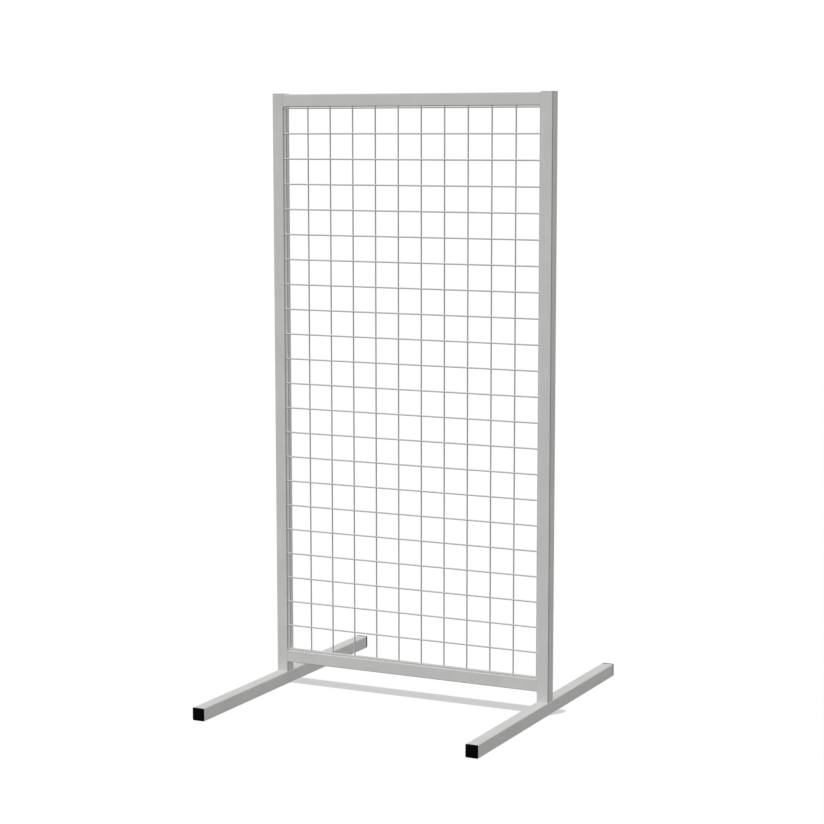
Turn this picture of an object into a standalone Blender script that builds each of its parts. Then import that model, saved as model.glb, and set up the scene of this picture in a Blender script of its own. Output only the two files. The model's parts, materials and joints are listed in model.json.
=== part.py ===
"""Free-standing wire mesh display panel.

A welded frame of square steel tube holds a panel of crossed steel wires for hooks and
shelves.  It stands on two long tube feet, each bolted to an upright from below.

Units are metres, +Z is up.  The origin is on the floor, midway between the feet and level
with the middle of the uprights' depth.  The front, with the horizontal wires, faces -Y.
"""
import math

import bmesh
import bpy
from mathutils import Matrix

# ---- Driving dimensions ------------------------------------------------------------------
PITCH = 0.050               # wire spacing, both ways
COLUMNS = 11                # mesh cells across
ROWS = 22                   # mesh cells up
WIRE_DIAMETER = 0.003
WIRE_TO_TUBE = 0.001        # clear strip between the outermost wires and the frame
MESH_RECESS = 0.0012        # from the frame's front face back to the wires
TUBE = 0.025                # outer width of the square tube
TUBE_WALL = 0.0015
TUBE_CORNER = 0.002         # outer corner radius of the tube
LEG_CLEARANCE = 0.020       # from the feet up to the bottom rail
FOOT_TUBE_LENGTH = 0.680
TOP_PLATE_THICKNESS = 0.0015
FIT_GAP = 0.0003            # left between pieces that touch

CAP_HEAD_THICKNESS = 0.0022
CAP_EDGE_BEVEL = 0.0005
CAP_SKIRT_DEPTH = 0.018
CAP_SKIRT_WALL = 0.0016
CAP_RIB_HEIGHT = 0.0005     # how far the gripping ribs stand out from the skirt
CAP_RIB_WIDTH = 0.0012
CAP_RIB_COUNT = 3

BOLT_DIAMETER = 0.008
BOLT_LENGTH = 0.020         # under the head
BOLT_HEAD_DIAMETER = 0.013
BOLT_HEAD_HEIGHT = 0.008
BOLT_CHAMFER = 0.0008
BOLT_SOCKET = 0.006         # hexagon, across the flats
BOLT_SOCKET_DEPTH = 0.004
BOLT_HOLE_DIAMETER = 0.009
ACCESS_HOLE_DIAMETER = 0.018
WASHER_BORE = 0.0084
FLAT_WASHER_DIAMETER = 0.016
FLAT_WASHER_THICKNESS = 0.0016
SPRING_WASHER_DIAMETER = 0.0144
SPRING_WASHER_THICKNESS = 0.0020
SPRING_WASHER_SLOT = math.radians(12)
BLOCK_HEIGHT = 0.016        # of the threaded block in each upright

# ---- Places worked out from them ---------------------------------------------------------
WIRE_RADIUS = WIRE_DIAMETER / 2
OPENING_WIDTH = COLUMNS * PITCH + WIRE_DIAMETER + 2 * WIRE_TO_TUBE
OPENING_HEIGHT = ROWS * PITCH + WIRE_DIAMETER + 2 * WIRE_TO_TUBE
UPRIGHT_X = (OPENING_WIDTH + TUBE) / 2
UPRIGHT_BOTTOM = TUBE + FIT_GAP                 # a foot is one tube high
BOTTOM_RAIL_Z = TUBE + LEG_CLEARANCE + TUBE / 2
OPENING_BOTTOM = BOTTOM_RAIL_Z + TUBE / 2
OPENING_TOP = OPENING_BOTTOM + OPENING_HEIGHT
TOP_RAIL_Z = OPENING_TOP + TUBE / 2
FRAME_TOP = OPENING_TOP + TUBE
HORIZONTAL_WIRE_Y = -TUBE / 2 + MESH_RECESS + WIRE_RADIUS
VERTICAL_WIRE_Y = HORIZONTAL_WIRE_Y + WIRE_DIAMETER + FIT_GAP
LOWEST_WIRE_Z = OPENING_BOTTOM + WIRE_TO_TUBE + WIRE_RADIUS
BORE_WIDTH = TUBE - 2 * TUBE_WALL               # inside width of the tube
BORE_CORNER = TUBE_CORNER - TUBE_WALL
INSERT_WIDTH = BORE_WIDTH - 2 * FIT_GAP         # of a piece that fits inside the tube
SKIRT_WIDTH = INSERT_WIDTH - 2 * CAP_RIB_HEIGHT
FLAT_WASHER_TOP = TUBE - TUBE_WALL - FIT_GAP
SPRING_WASHER_TOP = FLAT_WASHER_TOP - FLAT_WASHER_THICKNESS - FIT_GAP
BOLT_HEAD_TOP = SPRING_WASHER_TOP - SPRING_WASHER_THICKNESS - FIT_GAP

# ---- Mesh resolution ---------------------------------------------------------------------
OUTER_CORNER_STEPS = 4
INNER_CORNER_STEPS = 2
ROUND_STEPS = 32
WIRE_BEVEL_RESOLUTION = 4
WELD_DISTANCE = 0.00001
SMOOTH_ANGLE = math.radians(40)
CUT_OVERRUN = 0.002         # how far a cutter runs past the face that it opens

# ---- Looks: base colour, roughness, metallic ---------------------------------------------
POWDER_COAT = ((0.58, 0.58, 0.57), 0.45, 0.0)
BLACK_PLASTIC = ((0.012, 0.012, 0.012), 0.5, 0.0)
ZINC_PLATE = ((0.62, 0.63, 0.65), 0.35, 1.0)

Z_TO_X = Matrix.Rotation(math.radians(90), 4, 'Y')
Z_TO_Y = Matrix.Rotation(math.radians(-90), 4, 'X')


# ---- Scene, materials and meshes ---------------------------------------------------------
def clear_scene():
    for thing in list(bpy.data.objects):
        bpy.data.objects.remove(thing, do_unlink=True)


def make_material(name, look):
    color, roughness, metallic = look
    material = bpy.data.materials.new(name)
    material.use_nodes = True
    shader = material.node_tree.nodes['Principled BSDF']
    shader.inputs['Base Color'].default_value = (*color, 1.0)
    shader.inputs['Roughness'].default_value = roughness
    shader.inputs['Metallic'].default_value = metallic
    material.diffuse_color = (*color, 1.0)
    return material


def finish_piece(piece, look):
    """Give a piece its own material and smooth shading between its hard edges."""
    piece.data.materials.clear()
    piece.data.materials.append(make_material(piece.name + '_finish', look))
    piece.data.shade_smooth()
    piece.data.set_sharp_from_angle(angle=SMOOTH_ANGLE)
    return piece


def to_mesh(source):
    """Replace a curve, or an object with modifiers, by a closed mesh object of the same name."""
    name = source.name
    scene_objects = bpy.context.scene.collection.objects
    if not source.users_collection:
        scene_objects.link(source)
    bpy.context.view_layer.update()
    evaluated = source.evaluated_get(bpy.context.evaluated_depsgraph_get())
    mesh = bpy.data.meshes.new_from_object(evaluated)
    matrix = source.matrix_world.copy()
    bpy.data.objects.remove(source, do_unlink=True)

    shape = bmesh.new()
    shape.from_mesh(mesh)
    bmesh.ops.remove_doubles(shape, verts=shape.verts, dist=WELD_DISTANCE)
    bmesh.ops.recalc_face_normals(shape, faces=shape.faces)
    shape.to_mesh(mesh)
    shape.free()

    piece = bpy.data.objects.new(name, mesh)
    piece.matrix_world = matrix
    scene_objects.link(piece)
    return piece


def transformed(piece, matrix):
    """Move a piece's mesh itself, before it is cut or joined."""
    piece.data.transform(matrix)
    piece.data.update()
    return piece


def raised(piece, height):
    return transformed(piece, Matrix.Translation((0.0, 0.0, height)))


def combine(piece, tool, operation):
    """Join a tool shape to a piece, or cut it out, and remove the tool."""
    boolean = piece.modifiers.new('shape', 'BOOLEAN')
    boolean.operation = operation
    boolean.solver = 'EXACT'
    boolean.object = tool
    result = to_mesh(piece)
    bpy.data.objects.remove(tool, do_unlink=True)
    return result


# ---- Outlines and the solids made from them ----------------------------------------------
def arc(radius, start, end, steps=ROUND_STEPS):
    angles = [start + (end - start) * step / steps for step in range(steps + 1)]
    return [(radius * math.cos(angle), radius * math.sin(angle)) for angle in angles]


def circle(diameter, steps=ROUND_STEPS):
    return arc(diameter / 2, 0, 2 * math.pi, steps)[:-1]


def rounded_square(width, radius, steps):
    """Points of a square with round corners, anticlockwise from +X."""
    reach = width / 2 - radius
    points = []
    for quarter, (sign_x, sign_y) in enumerate([(1, 1), (-1, 1), (-1, -1), (1, -1)]):
        start = quarter * math.pi / 2
        for x, y in arc(radius, start, start + math.pi / 2, steps):
            points.append((sign_x * reach + x, sign_y * reach + y))
    return points


def tube_outline():
    return rounded_square(TUBE, TUBE_CORNER, OUTER_CORNER_STEPS)


def inner_outline(width):
    return rounded_square(width, BORE_CORNER, INNER_CORNER_STEPS)


def extruded(name, outlines, length):
    """A solid along Z, centred on the origin; outlines inside the first one are holes."""
    curve = bpy.data.curves.new(name, 'CURVE')
    curve.dimensions = '2D'
    curve.fill_mode = 'BOTH'
    curve.extrude = length / 2
    for outline in outlines:
        spline = curve.splines.new('POLY')
        spline.points.add(len(outline) - 1)
        for point, (x, y) in zip(spline.points, outline):
            point.co = (x, y, 0.0, 1.0)
        spline.use_cyclic_u = True
    return to_mesh(bpy.data.objects.new(name, curve))


def extruded_between(name, outlines, low, high):
    return raised(extruded(name, outlines, high - low), (low + high) / 2)


def turned(name, profile):
    """A solid of revolution about Z; the profile runs from top to bottom as (radius, height)."""
    mesh = bpy.data.meshes.new(name)
    edges = [(index, index + 1) for index in range(len(profile) - 1)]
    mesh.from_pydata([(radius, 0.0, height) for radius, height in profile], edges, [])
    piece = bpy.data.objects.new(name, mesh)
    screw = piece.modifiers.new('turn', 'SCREW')
    screw.axis = 'Z'
    screw.steps = ROUND_STEPS
    screw.render_steps = ROUND_STEPS
    screw.use_merge_vertices = True
    screw.merge_threshold = WELD_DISTANCE
    return to_mesh(piece)


# ---- Frame -------------------------------------------------------------------------------
def square_tube(name, length):
    """Square steel tube along Z, open at both ends."""
    return extruded(name, [tube_outline(), inner_outline(BORE_WIDTH)], length)


def make_upright(side, x):
    height = FRAME_TOP - UPRIGHT_BOTTOM
    upright = square_tube(side + '_upright', height)
    upright.location = (x, 0.0, UPRIGHT_BOTTOM + height / 2)
    return finish_piece(upright, POWDER_COAT)


def make_top_plate(side, x):
    """Plate welded over an upright's open top."""
    plate = extruded(side + '_upright_top_plate', [tube_outline()], TOP_PLATE_THICKNESS)
    plate.location = (x, 0.0, FRAME_TOP + FIT_GAP + TOP_PLATE_THICKNESS / 2)
    return finish_piece(plate, POWDER_COAT)


def make_rail(name, z):
    """Cross tube butted between the uprights."""
    rail = transformed(square_tube(name, OPENING_WIDTH - 2 * FIT_GAP), Z_TO_X)
    rail.location = (0.0, 0.0, z)
    return finish_piece(rail, POWDER_COAT)


# ---- Wire mesh ---------------------------------------------------------------------------
def straight_wire(name, start, end):
    curve = bpy.data.curves.new(name, 'CURVE')
    curve.dimensions = '3D'
    curve.bevel_depth = WIRE_RADIUS
    curve.bevel_resolution = WIRE_BEVEL_RESOLUTION
    curve.use_fill_caps = True
    spline = curve.splines.new('POLY')
    spline.points.add(1)
    spline.points[0].co = (*start, 1.0)
    spline.points[1].co = (*end, 1.0)
    return finish_piece(to_mesh(bpy.data.objects.new(name, curve)), POWDER_COAT)


def make_vertical_wires():
    """Numbered from the left; each one runs from rail to rail."""
    low = OPENING_BOTTOM + FIT_GAP
    high = OPENING_TOP - FIT_GAP
    wires = []
    for index in range(COLUMNS + 1):
        x = (index - COLUMNS / 2) * PITCH
        name = f'vertical_wire_{index + 1:02d}'
        wires.append(straight_wire(name, (x, VERTICAL_WIRE_Y, low), (x, VERTICAL_WIRE_Y, high)))
    return wires


def make_horizontal_wires():
    """Numbered from the top; they cross in front of the vertical wires, from upright to upright."""
    reach = OPENING_WIDTH / 2 - FIT_GAP
    wires = []
    for index in range(ROWS + 1):
        z = LOWEST_WIRE_Z + (ROWS - index) * PITCH
        name = f'horizontal_wire_{index + 1:02d}'
        wires.append(straight_wire(name, (-reach, HORIZONTAL_WIRE_Y, z), (reach, HORIZONTAL_WIRE_Y, z)))
    return wires


# ---- Feet --------------------------------------------------------------------------------
def make_foot(side, x):
    """Foot tube along Y, with a bolt hole in its top wall and an access hole below it."""
    middle = TUBE / 2
    foot = raised(transformed(square_tube(side + '_foot', FOOT_TUBE_LENGTH), Z_TO_Y), middle)
    bolt_drill = extruded_between('bolt_drill', [circle(BOLT_HOLE_DIAMETER)], middle, TUBE + CUT_OVERRUN)
    foot = combine(foot, bolt_drill, 'DIFFERENCE')
    access_drill = extruded_between('access_drill', [circle(ACCESS_HOLE_DIAMETER)], -CUT_OVERRUN, middle)
    foot = combine(foot, access_drill, 'DIFFERENCE')
    foot.location = (x, 0.0, 0.0)
    return finish_piece(foot, POWDER_COAT)


def is_cap_rim(edge):
    """True for the outer edges of the cap head's exposed face, which is at the top."""
    on_face = all(abs(vert.co.z - CAP_HEAD_THICKNESS) < WELD_DISTANCE for vert in edge.verts)
    return on_face and edge.calc_face_angle(0.0) > SMOOTH_ANGLE


def make_cap_head(name):
    """The square plate that covers the end of a foot, with its exposed edges eased."""
    head = extruded_between(name, [tube_outline()], 0.0, CAP_HEAD_THICKNESS)
    shape = bmesh.new()
    shape.from_mesh(head.data)
    rim = [edge for edge in shape.edges if is_cap_rim(edge)]
    bmesh.ops.bevel(shape, geom=rim, offset=CAP_EDGE_BEVEL, segments=2, profile=0.5, affect='EDGES')
    shape.to_mesh(head.data)
    shape.free()
    return head


def make_foot_cap(side, x, end, end_sign):
    """Moulded plug: a square head, and a hollow ribbed skirt that grips inside the tube."""
    cap = make_cap_head(f'{side}_foot_{end}_cap')
    skirt_outlines = [inner_outline(SKIRT_WIDTH), inner_outline(SKIRT_WIDTH - 2 * CAP_SKIRT_WALL)]
    skirt = extruded_between('skirt', skirt_outlines, -CAP_SKIRT_DEPTH, CAP_HEAD_THICKNESS / 2)
    cap = combine(cap, skirt, 'UNION')
    rib_outlines = [inner_outline(INSERT_WIDTH), inner_outline(SKIRT_WIDTH - CAP_SKIRT_WALL)]
    rib_spacing = CAP_SKIRT_DEPTH / (CAP_RIB_COUNT + 1)
    for index in range(CAP_RIB_COUNT):
        rib_top = CAP_RIB_WIDTH / 2 - (index + 1) * rib_spacing
        rib = extruded_between('rib', rib_outlines, rib_top - CAP_RIB_WIDTH, rib_top)
        cap = combine(cap, rib, 'UNION')
    transformed(cap, Matrix.Rotation(math.radians(-90 * end_sign), 4, 'X'))
    cap.location = (x, end_sign * (FOOT_TUBE_LENGTH / 2 + FIT_GAP), TUBE / 2)
    return finish_piece(cap, BLACK_PLASTIC)


# ---- Hidden fastening of each foot -------------------------------------------------------
def make_bolt(side, x):
    """Socket head screw, pushed up from below; its thread is left plain."""
    tip = BOLT_HEAD_TOP + BOLT_LENGTH
    head_bottom = BOLT_HEAD_TOP - BOLT_HEAD_HEIGHT
    shank = BOLT_DIAMETER / 2
    head = BOLT_HEAD_DIAMETER / 2
    profile = [
        (0.0, tip),
        (shank - BOLT_CHAMFER, tip),
        (shank, tip - BOLT_CHAMFER),
        (shank, BOLT_HEAD_TOP),
        (head, BOLT_HEAD_TOP),
        (head, head_bottom + BOLT_CHAMFER),
        (head - BOLT_CHAMFER, head_bottom),
        (0.0, head_bottom),
    ]
    bolt = turned(side + '_foot_bolt', profile)
    hexagon = circle(BOLT_SOCKET / math.cos(math.pi / 6), 6)
    socket = extruded_between('socket', [hexagon], head_bottom - CUT_OVERRUN, head_bottom + BOLT_SOCKET_DEPTH)
    bolt = combine(bolt, socket, 'DIFFERENCE')
    bolt.location = (x, 0.0, 0.0)
    return finish_piece(bolt, ZINC_PLATE)


def make_flat_washer(side, x):
    outlines = [circle(FLAT_WASHER_DIAMETER), circle(WASHER_BORE)]
    washer = extruded(side + '_foot_flat_washer', outlines, FLAT_WASHER_THICKNESS)
    washer.location = (x, 0.0, FLAT_WASHER_TOP - FLAT_WASHER_THICKNESS / 2)
    return finish_piece(washer, ZINC_PLATE)


def make_spring_washer(side, x):
    """Split lock washer, pressed flat as it is under a tight bolt; its slot faces +Y."""
    start = (math.pi + SPRING_WASHER_SLOT) / 2
    end = start + 2 * math.pi - SPRING_WASHER_SLOT
    outline = arc(SPRING_WASHER_DIAMETER / 2, start, end) + arc(WASHER_BORE / 2, end, start)
    washer = extruded(side + '_foot_spring_washer', [outline], SPRING_WASHER_THICKNESS)
    washer.location = (x, 0.0, SPRING_WASHER_TOP - SPRING_WASHER_THICKNESS / 2)
    return finish_piece(washer, ZINC_PLATE)


def make_threaded_block(side, x):
    """Steel block welded inside an upright's lower end, tapped for the bolt."""
    outlines = [inner_outline(INSERT_WIDTH), circle(BOLT_DIAMETER + 2 * FIT_GAP)]
    block = extruded(side + '_upright_threaded_block', outlines, BLOCK_HEIGHT)
    block.location = (x, 0.0, UPRIGHT_BOTTOM + BLOCK_HEIGHT / 2)
    return finish_piece(block, ZINC_PLATE)


# ---- Assembly ----------------------------------------------------------------------------
def make_side(side, x):
    """One upright with its top plate, its foot and everything that belongs to them."""
    pieces = [make_upright(side, x), make_top_plate(side, x), make_foot(side, x)]
    for end, end_sign in (('front', -1), ('rear', 1)):
        pieces.append(make_foot_cap(side, x, end, end_sign))
    for make_fastener in (make_bolt, make_flat_washer, make_spring_washer, make_threaded_block):
        pieces.append(make_fastener(side, x))
    return pieces


def main():
    clear_scene()
    pieces = [make_rail('top_rail', TOP_RAIL_Z), make_rail('bottom_rail', BOTTOM_RAIL_Z)]
    pieces += make_vertical_wires() + make_horizontal_wires()
    pieces += make_side('left', -UPRIGHT_X) + make_side('right', UPRIGHT_X)

    panel = bpy.data.collections.new('wire_mesh_display_panel')
    bpy.context.scene.collection.children.link(panel)
    for piece in pieces:
        bpy.context.scene.collection.objects.unlink(piece)
        panel.objects.link(piece)


main()
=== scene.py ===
import json
import math

import bmesh
import bpy
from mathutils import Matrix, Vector, noise

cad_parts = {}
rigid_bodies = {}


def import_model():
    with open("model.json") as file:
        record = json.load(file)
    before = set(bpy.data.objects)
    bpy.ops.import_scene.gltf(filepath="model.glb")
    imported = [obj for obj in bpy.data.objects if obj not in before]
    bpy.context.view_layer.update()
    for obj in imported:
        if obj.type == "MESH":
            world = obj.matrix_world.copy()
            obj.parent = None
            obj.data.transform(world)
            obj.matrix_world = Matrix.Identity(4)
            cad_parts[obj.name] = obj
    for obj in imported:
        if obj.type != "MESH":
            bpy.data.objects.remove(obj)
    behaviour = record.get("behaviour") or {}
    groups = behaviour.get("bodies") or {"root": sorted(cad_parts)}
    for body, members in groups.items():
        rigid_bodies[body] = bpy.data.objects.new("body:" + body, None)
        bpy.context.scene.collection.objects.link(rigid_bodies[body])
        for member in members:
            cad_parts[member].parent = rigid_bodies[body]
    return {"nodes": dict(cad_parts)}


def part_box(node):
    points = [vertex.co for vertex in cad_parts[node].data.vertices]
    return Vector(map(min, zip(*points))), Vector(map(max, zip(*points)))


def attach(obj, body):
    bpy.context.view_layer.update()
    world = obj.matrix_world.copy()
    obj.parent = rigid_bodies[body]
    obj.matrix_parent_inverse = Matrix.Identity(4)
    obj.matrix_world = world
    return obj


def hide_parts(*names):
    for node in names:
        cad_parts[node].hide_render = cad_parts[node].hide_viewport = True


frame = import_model()

# Every length is in metres and every angle in degrees, unless its name says otherwise.

Y, Z = 1, 2                 # the numbers of two axes

TUBE_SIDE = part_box("top_rail")[1].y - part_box("top_rail")[0].y
TUBE_WALL = 0.0015
TUBE_CORNER = 0.002
TUBE_EDGE = 0.0003          # how far a cut tube end is eased
SMALLEST_CORNER = 0.0004    # the corner radius that an outline keeps as it shrinks
CORNER_STEPS = 8
EDGE_STEPS = 3
SHARP_BEND = 38.0           # faces that meet at more than this are shaded with an edge

HOLE_EDGE_STEPS = 48
ACCESS_HOLE_RADIUS = 0.009
BOLT_HOLE_RADIUS = 0.0045

WIRE_STEPS = 20
SPOT_WELD_RISE = 0.0010     # how far a weld swells out of a wire towards the wire behind it
SPOT_WELD_REACH = 0.0012
SPOT_WELD_LIMIT = 3 * SPOT_WELD_REACH   # past this the swelling is too small to draw
SPOT_WELD_VARIATION = 0.25  # how much the welds differ from each other
SPOT_WELD_NOISE_SCALE = 90
SPOT_WELD_STATIONS = (0.0, 0.0003, 0.0007, 0.0012, 0.0018, 0.0026)
COLLAR_RISE = 0.0009        # the weld where a wire's end meets a tube
COLLAR_REACH = 0.0013
COLLAR_SINK = 0.0010        # how far a wire's end goes into the tube's wall
COLLAR_STATIONS = (0.0, 0.0003, 0.0006, 0.0009, 0.0013, 0.0020)
CLOSEST_STATIONS = 0.0001

BEAD_RADIUS = 0.0017
BEAD_STEPS = 12
BEAD_SPACING = 0.0005
BEAD_SINK_ON_FLUSH_SIDES = 0.00185
BEAD_SHIFT_ON_FLUSH_SIDES = 0.0006
BEAD_RIPPLE = 0.00006
BEAD_RIPPLE_LENGTH = 0.0017
BEAD_NOISE_SCALES = (90, 70, 400)       # across the panel, up it, and round a bead

CAP_EDGE = 0.0005
CAP_CROWN = 0.00025
CAP_REAR_LAP = 0.0025       # how much thicker the rear heads are, towards the tube
CAP_SKIRT_LENGTH = 0.018
CAP_SKIRT_WALL = 0.0015
CAP_SKIRT_CLEARANCE = 0.0006
CAP_FIN_COUNT = 3
CAP_FIN_THICKNESS = 0.0010
CAP_FIN_PITCH = 0.0050
CAP_FIN_START = 0.0030
CAP_FIN_SLOPE = 0.0004
CAP_FIN_GAP = 0.0001        # between a fin and the tube's wall
CAP_FLOOR_DEPTH = 0.0005    # how far inside the tube's end the hollow's floor lies
CAP_FLOOR_MIDDLE = 0.001    # half the side of the square that closes the hollow's floor
CAP_LEAD_IN = 0.0004        # the chamfer at the skirt's far end, twice as long as it is deep
CAP_BACK_EDGE = ((0.0, 0.0004), (0.0002, 0.0001), (0.0005, 0.0))    # (distance out, inset)
CAP_CROWN_SHARES = (0.25, 0.5, 0.75, 0.95)      # shares of the way from the edge to the middle

SIDES = ("left", "right")
ENDS = ("front", "rear")
HARDWARE = ("foot_bolt", "foot_flat_washer", "foot_spring_washer", "upright_threaded_block")


# ---------------------------------------------------------------- mesh code

def rounded_square(side, corner):
    """The points of a square with rounded corners, as pairs, anticlockwise."""
    corner = max(corner, SMALLEST_CORNER)
    reach = side / 2 - corner
    points = []
    for quarter, (a, b) in enumerate(((1, 1), (-1, 1), (-1, -1), (1, -1))):
        for step in range(CORNER_STEPS + 1):
            angle = math.pi / 2 * (quarter + step / CORNER_STEPS)
            points.append((a * reach + corner * math.cos(angle), b * reach + corner * math.sin(angle)))
    return points


def walk_rounded_square(side, corner, spacing):
    """Evenly spaced points round a rounded square, each as (a, b, outward a, outward b)."""
    reach = side / 2 - corner
    straight = max(1, round(2 * reach / spacing))
    turn = max(3, round(math.pi / 2 * corner / spacing))
    walk = []
    for quarter in range(4):
        start = math.pi / 2 * quarter
        along = Vector((-math.sin(start), math.cos(start)))
        out = Vector((math.cos(start), math.sin(start)))
        for step in range(straight):
            point = out * side / 2 + along * reach * (2 * step / straight - 1)
            walk.append((*point, *out))
        centre = (out + along) * reach
        for step in range(turn):
            angle = start + math.pi / 2 * step / turn
            way = Vector((math.cos(angle), math.sin(angle)))
            walk.append((*(centre + way * corner), *way))
    return walk


def circle(radius, steps):
    """The points of a circle, as pairs, anticlockwise."""
    angles = [2 * math.pi * step / steps for step in range(steps)]
    return [(radius * math.cos(angle), radius * math.sin(angle)) for angle in angles]


def ring_across(axis, along, middle, outline):
    """An outline's pairs laid square to an axis, at a place along it."""
    first, second = [other for other in range(3) if other != axis]
    ring = []
    for a, b in outline:
        point = [0.0, 0.0, 0.0]
        point[axis] = along
        point[first] = middle[first] + a
        point[second] = middle[second] + b
        ring.append(point)
    return ring


def skin(rings, closed=False):
    """Points and faces of a surface through rings. A closed one joins the last ring to the first."""
    count = len(rings[0])
    points = [point for ring in rings for point in ring]
    faces = []
    for here in range(len(rings) if closed else len(rings) - 1):
        there = (here + 1) % len(rings)
        for i in range(count):
            j = (i + 1) % count
            faces.append((here * count + i, here * count + j, there * count + j, there * count + i))
    if not closed:
        faces.append(tuple(range(count)))
        faces.append(tuple(range((len(rings) - 1) * count, len(rings) * count)))
    return points, faces


def make_object(name, points, faces):
    """A smooth object with its faces turned outwards and its edges sharp where it bends hard."""
    mesh = bpy.data.meshes.new(name)
    mesh.from_pydata(points, [], faces)
    edit = bmesh.new()
    edit.from_mesh(mesh)
    bmesh.ops.recalc_face_normals(edit, faces=edit.faces)
    edit.to_mesh(mesh)
    edit.free()
    smooth(mesh)
    made = bpy.data.objects.new(name, mesh)
    bpy.context.scene.collection.objects.link(made)
    return made


def smooth(mesh):
    """Shades a mesh smoothly, with edges where it bends hard."""
    mesh.shade_smooth()
    mesh.set_sharp_from_angle(angle=math.radians(SHARP_BEND))


def add_piece(piece, slot, *nodes):
    """Finishes a new piece: gives it its slot's material, puts it in the root body and hides the CAD
    nodes it stands for.
    """
    piece.data.materials.append(finishes[slot])
    piece.modifiers.new("flat_face_shading", "WEIGHTED_NORMAL").keep_sharp = True
    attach(piece, "root")
    if nodes:
        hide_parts(*nodes)
    return piece


def cut_round_hole(piece, middle, radius, low, high):
    """Cuts an upright round hole through a piece, between two heights."""
    outline = circle(radius, HOLE_EDGE_STEPS)
    rings = [ring_across(Z, height, middle, outline) for height in (low, high)]
    cutter = make_object(piece.name + "_cutter", *skin(rings))
    cut = piece.modifiers.new("hole", "BOOLEAN")
    cut.operation = "DIFFERENCE"
    cut.solver = "EXACT"
    cut.object = cutter
    bpy.context.view_layer.update()
    evaluated = piece.evaluated_get(bpy.context.evaluated_depsgraph_get())
    shaped = bpy.data.meshes.new_from_object(evaluated)
    piece.modifiers.clear()
    plain = piece.data
    piece.data = shaped
    smooth(shaped)
    bpy.data.objects.remove(cutter)
    bpy.data.meshes.remove(plain)


# ---------------------------------------------------------------- tubes and plates

def long_box(node):
    """A long node's box, as its long axis, its two ends along it, its middle and its thickness."""
    low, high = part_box(node)
    spans = [high[axis] - low[axis] for axis in range(3)]
    axis = spans.index(max(spans))
    return axis, low[axis], high[axis], (low + high) / 2, min(spans)


def eased_edge(inset):
    """Pairs of (distance from the end, inset) that round an edge off, from the side to the end."""
    turns = [math.pi / 2 * step / EDGE_STEPS for step in range(EDGE_STEPS + 1)]
    return [(inset * (1 - math.sin(turn)), inset * (1 - math.cos(turn))) for turn in turns]


def eased_side(start, end):
    """Pairs of (place, inset) from one end to the other of a side that is eased at both."""
    edge = eased_edge(TUBE_EDGE)
    near = [(start + away, inset) for away, inset in reversed(edge)]
    return near + [(end - away, inset) for away, inset in edge]


def square_rings(axis, middle, side, profile):
    """Rounded squares across an axis, one for each pair of (place along it, inset)."""
    rings = []
    for along, inset in profile:
        outline = rounded_square(side - 2 * inset, TUBE_CORNER - inset)
        rings.append(ring_across(axis, along, middle, outline))
    return rings


def make_tube(node, start=None, end=None):
    """A hollow square tube in a node's box, with eased ends. start and end move its two ends."""
    axis, low, high, middle, side = long_box(node)
    start = low if start is None else start
    end = high if end is None else end
    profile = eased_side(start, end) + [(end, TUBE_WALL), (start, TUBE_WALL)]
    return make_object(node + "_tube", *skin(square_rings(axis, middle, side, profile), closed=True))


def make_top_plate(node, bottom):
    """A plate that closes the top of an upright, eased round both faces."""
    low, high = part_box(node)
    rings = square_rings(Z, (low + high) / 2, high.x - low.x, eased_side(bottom, high.z))
    return make_object(node + "_sheet", *skin(rings))


def make_foot(side):
    """A foot tube with the bolt's hole in its top wall and the key's hole in its bottom wall."""
    node = f"{side}_foot"
    low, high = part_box(node)
    foot = make_tube(node, end=high.y - CAP_REAR_LAP)
    middle = (low + high) / 2
    cut_round_hole(foot, middle, ACCESS_HOLE_RADIUS, low.z - TUBE_WALL, low.z + 2 * TUBE_WALL)
    cut_round_hole(foot, middle, BOLT_HOLE_RADIUS, high.z - 2 * TUBE_WALL, high.z + TUBE_WALL)
    return foot


# ---------------------------------------------------------------- welds

def make_rail_weld(rail, side):
    """The weld round one end of a rail. It fills the notch beside the upright's rounded corner on the
    two flush sides, and stands as a small fillet above and below the rail."""
    low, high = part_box(rail)
    upright_low, upright_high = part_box(f"{side}_upright")
    outwards = -1 if side == "left" else 1
    face = upright_high.x if side == "left" else upright_low.x
    middle = (low + high) / 2
    rings = []
    for index, (a, b, out_a, out_b) in enumerate(
            walk_rounded_square(high.z - low.z, TUBE_CORNER, BEAD_SPACING)):
        flush = out_a * out_a
        place = index * BEAD_SPACING
        ripple = BEAD_RIPPLE * math.sin(2 * math.pi * place / BEAD_RIPPLE_LENGTH)
        spot = [at * scale for at, scale in zip((face, low.z, place), BEAD_NOISE_SCALES)]
        ripple += 2 * BEAD_RIPPLE * noise.noise(Vector(spot))
        radius = BEAD_RADIUS + ripple
        centre = Vector((face + outwards * BEAD_SHIFT_ON_FLUSH_SIDES * flush, middle.y + a, middle.z + b))
        out = Vector((0, out_a, out_b))
        centre -= out * BEAD_SINK_ON_FLUSH_SIDES * flush
        rings.append([centre + out * p + Vector((q, 0, 0)) for p, q in circle(radius, BEAD_STEPS)])
    return make_object(f"{rail}_{side}_weld", *skin(rings, closed=True))


# ---------------------------------------------------------------- wires

def collar(distance):
    """How far the weld at a wire's end swells it, this far from the tube."""
    if distance >= COLLAR_REACH:
        return 0.0
    return COLLAR_RISE * (1 - max(distance, 0.0) / COLLAR_REACH) ** 2


def spot_weld(along, crossing, height):
    """How far the weld at a crossing swells a wire at this height, at a place along it."""
    if abs(along - crossing) >= SPOT_WELD_LIMIT:
        return 0.0
    spot = Vector((crossing * SPOT_WELD_NOISE_SCALE, height * SPOT_WELD_NOISE_SCALE, 0))
    vigour = 1 + SPOT_WELD_VARIATION * noise.noise(spot)
    return SPOT_WELD_RISE * vigour * math.exp(-((along - crossing) / SPOT_WELD_REACH) ** 2)


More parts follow.
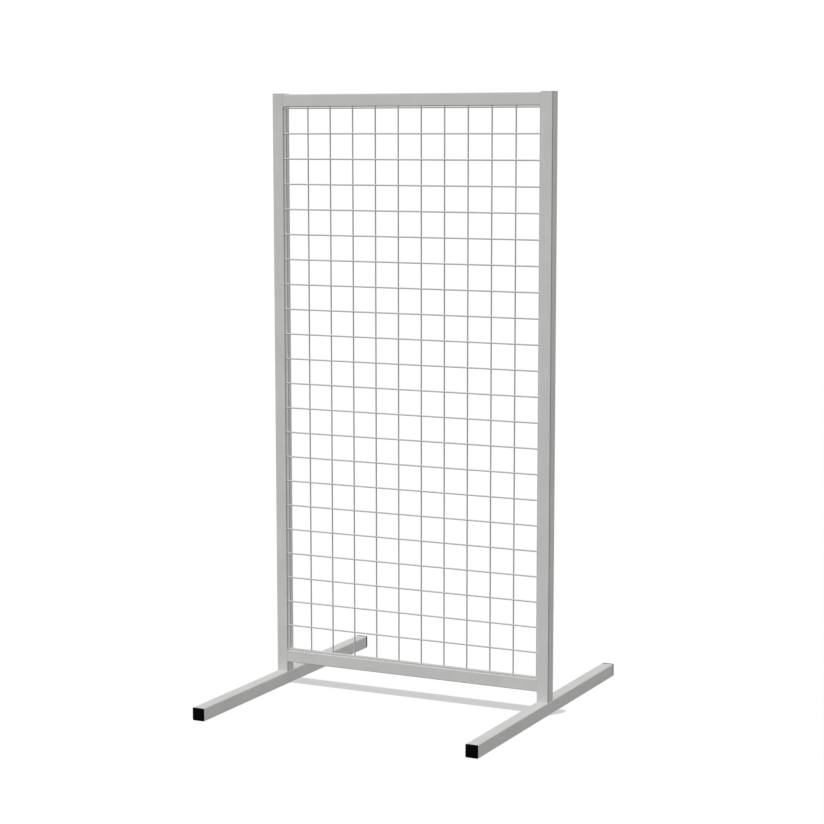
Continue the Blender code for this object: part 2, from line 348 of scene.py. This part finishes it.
def wire_stations(start, end, crossings):
    """The places along a wire that need a ring: close together at its welds, none twice."""
    stations = [start - COLLAR_SINK, end + COLLAR_SINK]
    stations += [start + away for away in COLLAR_STATIONS]
    stations += [end - away for away in COLLAR_STATIONS]
    for crossing in crossings:
        stations += [crossing + away for away in SPOT_WELD_STATIONS]
        stations += [crossing - away for away in SPOT_WELD_STATIONS]
    kept = []
    for station in sorted(stations):
        if start - COLLAR_SINK <= station <= end + COLLAR_SINK:
            if not kept or station - kept[-1] > CLOSEST_STATIONS:
                kept.append(station)
    return kept


def make_wire(node, start, end, crossings=()):
    """A round wire in a node's box, from one tube to the other, with a weld collar at each end and a
    weld at each crossing that swells towards the wire behind it."""
    axis, _, _, middle, thickness = long_box(node)
    rings = []
    for along in wire_stations(start, end, crossings):
        swell = collar(along - start) + collar(end - along)
        rise = sum(spot_weld(along, crossing, middle.z) for crossing in crossings)
        outline = []
        for a, b in circle(1.0, WIRE_STEPS):
            reach = thickness / 2 + swell + rise * max(a, 0.0) ** 2
            outline.append((a * reach, b * reach))
        rings.append(ring_across(axis, along, middle, outline))
    return make_object(node + "_rod", *skin(rings))


# ---------------------------------------------------------------- foot caps

def cap_profile(head):
    """Pairs of (distance out of the tube's end, inset) from the hollow's floor, round the skirt and its
    fins and over the head to the middle of its face."""
    half = TUBE_SIDE / 2
    skirt = TUBE_WALL + CAP_SKIRT_CLEARANCE
    hollow = skirt + CAP_SKIRT_WALL
    fin_edge = TUBE_WALL + CAP_FIN_GAP
    profile = [(-CAP_FLOOR_DEPTH, half - CAP_FLOOR_MIDDLE), (-CAP_FLOOR_DEPTH, hollow)]
    profile += [(-CAP_SKIRT_LENGTH, hollow), (-CAP_SKIRT_LENGTH, skirt + CAP_LEAD_IN)]
    profile += [(-CAP_SKIRT_LENGTH + 2 * CAP_LEAD_IN, skirt)]
    for fin in reversed(range(CAP_FIN_COUNT)):
        front = -(CAP_FIN_START + CAP_FIN_PITCH * fin)
        back = front - CAP_FIN_THICKNESS
        profile += [(back, skirt), (back + CAP_FIN_SLOPE, fin_edge), (front, fin_edge), (front, skirt)]
    profile += [(0.0, skirt), *CAP_BACK_EDGE]
    for away, inset in eased_edge(CAP_EDGE):
        profile.append((head - CAP_CROWN - away, inset))
    for share in CAP_CROWN_SHARES:
        inset = CAP_EDGE + (half - CAP_EDGE) * share
        profile.append((head - CAP_CROWN * (1 - share) ** 2, inset))
    return profile


def make_cap(node, tube_end, face):
    """A black plug from a foot tube's end to its own face: a crowned head, and a hollow skirt with fins
    that grip."""
    low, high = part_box(node)
    outwards = -1 if tube_end < 0 else 1
    profile = [(tube_end + outwards * out, inset) for out, inset in cap_profile(abs(face - tube_end))]
    return make_object(node + "_moulding", *skin(square_rings(Y, (low + high) / 2, TUBE_SIDE, profile)))


# ---------------------------------------------------------------- materials

FRAME_COLOUR = (0.470, 0.470, 0.462)
# the wires carry the frame's own coat; this colour is made a little darker to paint the shade that thin
# round wires show
WIRE_COLOUR_WITH_PAINTED_SHADE = (0.440, 0.440, 0.432)
PLASTIC_COLOURS = ((0.0008, 0.0008, 0.0009), (0.0018, 0.0018, 0.0019))
ZINC_COLOURS = ((0.60, 0.63, 0.68), (0.66, 0.64, 0.58))     # a blue cast and a straw one
FLOOR_COLOURS = ((0.099, 0.099, 0.099), (0.101, 0.101, 0.101))
FLOOR_GLOW = 0.487
WHITE = (1.0, 1.0, 1.0, 1.0)
MIX_FIRST, MIX_SECOND, MIX_RESULT = 6, 7, 2     # the colour sockets of a mix node, by number


def new_material(name):
    material = bpy.data.materials.new(name)
    material.use_nodes = True
    shader = material.node_tree.nodes["Principled BSDF"]
    return material, material.node_tree, shader


def noise_pattern(tree, scale, detail, stretch=None):
    """A noise pattern fixed to the object, as its value output. scale is in features per metre."""
    place = tree.nodes.new("ShaderNodeTexCoord")
    pattern = tree.nodes.new("ShaderNodeTexNoise")
    pattern.inputs["Scale"].default_value = scale
    pattern.inputs["Detail"].default_value = detail
    source = place.outputs["Object"]
    if stretch:
        spread = tree.nodes.new("ShaderNodeMapping")
        spread.inputs["Scale"].default_value = stretch
        tree.links.new(source, spread.inputs["Vector"])
        source = spread.outputs["Vector"]
    tree.links.new(source, pattern.inputs["Vector"])
    return pattern.outputs["Fac"]


def remap(tree, value, old, new=(0.0, 1.0)):
    """A value's old range laid onto a new one, and held there."""
    node = tree.nodes.new("ShaderNodeMapRange")
    tree.links.new(value, node.inputs["Value"])
    for name, number in zip(("From Min", "From Max", "To Min", "To Max"), (*old, *new)):
        node.inputs[name].default_value = number
    return node.outputs["Result"]


def mix_colours(tree, factor, first, second):
    """A mix of two colours by a factor. Each colour is an output or three numbers."""
    node = tree.nodes.new("ShaderNodeMix")
    node.data_type = "RGBA"
    tree.links.new(factor, node.inputs["Factor"])
    for socket, colour in ((node.inputs[MIX_FIRST], first), (node.inputs[MIX_SECOND], second)):
        if isinstance(colour, tuple):
            socket.default_value = (*colour, 1.0)
        else:
            tree.links.new(colour, socket)
    return node.outputs[MIX_RESULT]


def add_bump(tree, height, distance, strength, before=None):
    """A bump from a height pattern, laid over an earlier bump."""
    node = tree.nodes.new("ShaderNodeBump")
    node.inputs["Distance"].default_value = distance
    node.inputs["Strength"].default_value = strength
    tree.links.new(height, node.inputs["Height"])
    if before:
        tree.links.new(before, node.inputs["Normal"])
    return node.outputs["Normal"]


def scaled(colour, share):
    return tuple(channel * share for channel in colour)


def make_powder_coat(name, colour, peel_scale):
    """Satin powder coat: orange peel, a faint mottle, flecks, light rubs and slightly uneven gloss."""
    material, tree, shader = new_material(name)
    mottle = remap(tree, noise_pattern(tree, scale=14.0, detail=4.0), old=(0.35, 0.65))
    base = mix_colours(tree, mottle, scaled(colour, share=0.97), scaled(colour, share=1.03))
    flecks = remap(tree, noise_pattern(tree, scale=1600.0, detail=1.0), old=(0.62, 0.72))
    base = mix_colours(tree, flecks, base, scaled(colour, share=0.88))
    streaks = noise_pattern(tree, scale=60.0, detail=5.0, stretch=(1.0, 1.0, 0.25))
    rubs = remap(tree, streaks, old=(0.66, 0.74))
    base = mix_colours(tree, rubs, base, scaled(colour, share=1.06))
    tree.links.new(base, shader.inputs["Base Color"])
    gloss = noise_pattern(tree, scale=35.0, detail=3.0)
    tree.links.new(remap(tree, gloss, old=(0.3, 0.7), new=(0.52, 0.62)), shader.inputs["Roughness"])
    waves = noise_pattern(tree, scale=130.0, detail=1.0)
    waves = add_bump(tree, waves, distance=0.00015, strength=0.3)
    peel = noise_pattern(tree, scale=peel_scale, detail=2.0)
    peel = add_bump(tree, peel, distance=0.0001, strength=0.45, before=waves)
    tree.links.new(peel, shader.inputs["Normal"])
    shader.inputs["Specular IOR Level"].default_value = 0.25
    return material


def make_black_plastic():
    """Moulded black plastic with a fine spark-eroded grain."""
    material, tree, shader = new_material("black_moulded_plastic")
    tone = remap(tree, noise_pattern(tree, scale=90.0, detail=3.0), old=(0.3, 0.7))
    tree.links.new(mix_colours(tree, tone, *PLASTIC_COLOURS), shader.inputs["Base Color"])
    gloss = noise_pattern(tree, scale=260.0, detail=2.0)
    tree.links.new(remap(tree, gloss, old=(0.3, 0.7), new=(0.52, 0.66)), shader.inputs["Roughness"])
    grain = noise_pattern(tree, scale=2200.0, detail=2.0)
    grain = add_bump(tree, grain, distance=0.00005, strength=0.5)
    tree.links.new(grain, shader.inputs["Normal"])
    shader.inputs["Specular IOR Level"].default_value = 0.03
    return material


def make_zinc_plate():
    """Bright zinc plating with a faint blue and straw cast and fine handling marks."""
    material, tree, shader = new_material("zinc_plated_steel")
    cast = remap(tree, noise_pattern(tree, scale=220.0, detail=3.0), old=(0.35, 0.65))
    tree.links.new(mix_colours(tree, cast, *ZINC_COLOURS), shader.inputs["Base Color"])
    gloss = noise_pattern(tree, scale=700.0, detail=3.0)
    tree.links.new(remap(tree, gloss, old=(0.3, 0.7), new=(0.26, 0.42)), shader.inputs["Roughness"])
    marks = noise_pattern(tree, scale=900.0, detail=3.0)
    marks = add_bump(tree, marks, distance=0.00004, strength=0.35)
    tree.links.new(marks, shader.inputs["Normal"])
    shader.inputs["Metallic"].default_value = 1.0
    return material


def make_floor_finish():
    """A dull floor that glows evenly, so that it looks nearly as white as the background."""
    material, tree, shader = new_material("pale_floor")
    tone = remap(tree, noise_pattern(tree, scale=3.0, detail=3.0), old=(0.3, 0.7))
    tree.links.new(mix_colours(tree, tone, *FLOOR_COLOURS), shader.inputs["Base Color"])
    shader.inputs["Roughness"].default_value = 0.9
    shader.inputs["Specular IOR Level"].default_value = 0.0
    shader.inputs["Emission Color"].default_value = WHITE
    shader.inputs["Emission Strength"].default_value = FLOOR_GLOW
    return material


# ---------------------------------------------------------------- stage

FLOOR_RADIUS = 6.0
FLOOR_INNER_RADIUS = 0.5
FLOOR_STEPS = 96
FLOOR_DROP = 0.0002
AMBIENT = 0.17
BACKGROUND = 1.02
CEILING = {"azimuth": 0.0, "elevation": 90.0, "strength": 0.31, "spread": 90.0}
FRONT_LEFT = {"azimuth": -45.0, "elevation": 28.0, "strength": 1.20, "spread": 10.0}
BACK_RIGHT = {"azimuth": 135.0, "elevation": 28.0, "strength": 0.735, "spread": 10.0}
FLOOR_SPOT = {"azimuth": -30.0, "elevation": 88.35, "strength": 3.84, "spread": 0.3}
SHADOWLESS_HEIGHTS = (0.03, 0.32)   # a piece whose lowest point lies between these has no shadow

CAMERA_PLACE = (1.8858, -3.8217, 1.1178)
CAMERA_AZIMUTH = 25.969
CAMERA_DROP = 7.804
CAMERA_LENS_IN_MILLIMETRES = 94.98364
CAMERA_SENSOR_IN_MILLIMETRES = 36.0
CAMERA_SHIFT = (-0.0126456, 0.0267718)      # in shares of the sensor's width


def make_floor():
    """A round floor just under the feet: a ring, and a disc inside it."""
    outlines = [circle(radius, FLOOR_STEPS) for radius in (FLOOR_RADIUS, FLOOR_INNER_RADIUS)]
    points, faces = skin([ring_across(Z, -FLOOR_DROP, Vector(), outline) for outline in outlines])
    *ring, _, disc = faces
    floor = make_object("floor", points, [*ring, disc])
    floor.data.materials.append(make_floor_finish())
    floor.visible_diffuse = False
    floor.visible_glossy = False
    floor.visible_shadow = False
    return floor


def make_sun(name, azimuth, elevation, strength, spread):
    """A distant lamp. Its strength is how bright it makes a white surface that faces it."""
    lamp = bpy.data.lights.new(name, "SUN")
    lamp.energy = strength * math.pi
    lamp.angle = math.radians(spread)
    sun = bpy.data.objects.new(name, lamp)
    turn, rise = math.radians(azimuth), math.radians(elevation)
    towards = Vector((math.sin(turn) * math.cos(rise), -math.cos(turn) * math.cos(rise), math.sin(rise)))
    sun.rotation_mode = "QUATERNION"
    sun.rotation_quaternion = towards.to_track_quat("Z", "Y")
    bpy.context.scene.collection.objects.link(sun)
    return sun


def casts_floor_shadow(piece):
    """Whether a piece darkens the floor. The bottom rail and its welds, the vertical wires and the
    lowest horizontal ones don't, so that the shadow is one even strip."""
    if piece.type != "MESH" or piece.name == "floor" or piece.hide_render:
        return False
    lowest, highest = SHADOWLESS_HEIGHTS
    return not lowest < min(corner[Z] for corner in piece.bound_box) < highest


def make_fill(name, **settings):
    """A distant lamp that casts no shadow, so that it lights each face evenly."""
    make_sun(name, **settings).data.use_shadow = False


def make_floor_spot(receiver, casters):
    """A narrow lamp overhead that lights the floor alone, and draws only the casters' shadow there."""
    spot = make_sun("floor_spot", **FLOOR_SPOT)
    for use, members in (("receiver", [receiver]), ("blocker", casters)):
        group = bpy.data.collections.new(f"floor_spot_{use}s")
        for member in members:
            group.objects.link(member)
        setattr(spot.light_linking, f"{use}_collection", group)


def make_world():
    """Even soft light from all round. The camera sees a plain white background instead."""
    world = bpy.data.worlds.new("studio")
    bpy.context.scene.world = world
    world.use_nodes = True
    tree = world.node_tree
    light = tree.nodes["Background"]
    light.inputs["Color"].default_value = WHITE
    light.inputs["Strength"].default_value = AMBIENT
    seen = tree.nodes.new("ShaderNodeBackground")
    seen.inputs["Color"].default_value = WHITE
    seen.inputs["Strength"].default_value = BACKGROUND
    path = tree.nodes.new("ShaderNodeLightPath")
    mix = tree.nodes.new("ShaderNodeMixShader")
    tree.links.new(path.outputs["Is Camera Ray"], mix.inputs["Fac"])
    for number, background in enumerate((light, seen), start=1):
        tree.links.new(background.outputs["Background"], mix.inputs[number])
    tree.links.new(mix.outputs["Shader"], tree.nodes["World Output"].inputs["Surface"])


def make_camera():
    data = bpy.data.cameras.new("camera")
    data.sensor_width = CAMERA_SENSOR_IN_MILLIMETRES
    data.lens = CAMERA_LENS_IN_MILLIMETRES
    data.shift_x, data.shift_y = CAMERA_SHIFT
    camera = bpy.data.objects.new("camera", data)
    camera.location = CAMERA_PLACE
    camera.rotation_euler = (math.radians(90 - CAMERA_DROP), 0.0, math.radians(CAMERA_AZIMUTH))
    bpy.context.scene.collection.objects.link(camera)
    bpy.context.scene.camera = camera


# ---------------------------------------------------------------- build

def add_side(side):
    """An upright and the plate on it, and the foot under it with a cap in each end."""
    upright = f"{side}_upright"
    plate = f"{upright}_top_plate"
    foot = f"{side}_foot"
    foot_low, foot_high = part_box(foot)
    add_piece(make_tube(upright, start=foot_high.z), "frame_powder_coat", upright)
    add_piece(make_top_plate(plate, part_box(upright)[1].z), "frame_powder_coat", plate)
    add_piece(make_foot(side), "frame_powder_coat", foot)
    for end in ENDS:
        cap = f"{foot}_{end}_cap"
        cap_low, cap_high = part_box(cap)
        tube_end, face = foot_low.y, cap_low.y
        if end == "rear":
            tube_end, face = foot_high.y - CAP_REAR_LAP, cap_high.y
        add_piece(make_cap(cap, tube_end, face), "black_plastic", cap)


def add_rail(rail):
    """A rail between the uprights, with a weld round each end."""
    left_face, right_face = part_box("left_upright")[1].x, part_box("right_upright")[0].x
    add_piece(make_tube(rail, left_face, right_face), "frame_powder_coat", rail)
    for side in SIDES:
        add_piece(make_rail_weld(rail, side), "frame_powder_coat")


def add_mesh():
    """The vertical wires between the rails, and the horizontal ones in front of them."""
    left_face, right_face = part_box("left_upright")[1].x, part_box("right_upright")[0].x
    bottom_face, top_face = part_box("bottom_rail")[1].z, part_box("top_rail")[0].z
    columns = sorted(node for node in frame["nodes"] if node.startswith("vertical_wire"))
    rows = sorted(node for node in frame["nodes"] if node.startswith("horizontal_wire"))
    crossings = [sum(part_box(column), Vector()).x / 2 for column in columns]
    for column in columns:
        add_piece(make_wire(column, bottom_face, top_face), "wire_powder_coat", column)
    for row in rows:
        add_piece(make_wire(row, left_face, right_face, crossings), "wire_powder_coat", row)


def finish_hardware():
    """Gives the hidden bolts, washers and blocks, which stay as they are, their zinc plating."""
    for side in SIDES:
        for part in HARDWARE:
            held = frame["nodes"][f"{side}_{part}"]
            held.data.materials.clear()
            held.data.materials.append(finishes["zinc_plate"])


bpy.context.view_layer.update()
finishes = {
    "frame_powder_coat": make_powder_coat("frame_powder_coat", FRAME_COLOUR, peel_scale=700.0),
    # the wires' coat is the frame's coat with a darker base colour: painted shade
    "wire_powder_coat": make_powder_coat("wire_powder_coat", WIRE_COLOUR_WITH_PAINTED_SHADE, peel_scale=900.0),
    "black_plastic": make_black_plastic(),
    "zinc_plate": make_zinc_plate(),
}

for side in SIDES:
    add_side(side)
for rail in ("top_rail", "bottom_rail"):
    add_rail(rail)
add_mesh()
finish_hardware()

floor = make_floor()
make_world()
make_fill("ceiling_light", **CEILING)
make_fill("front_left_light", **FRONT_LEFT)
make_fill("back_right_light", **BACK_RIGHT)
make_floor_spot(floor, [piece for piece in bpy.data.objects if casts_floor_shadow(piece)])
make_camera()
bpy.context.scene.view_settings.view_transform = "Standard"
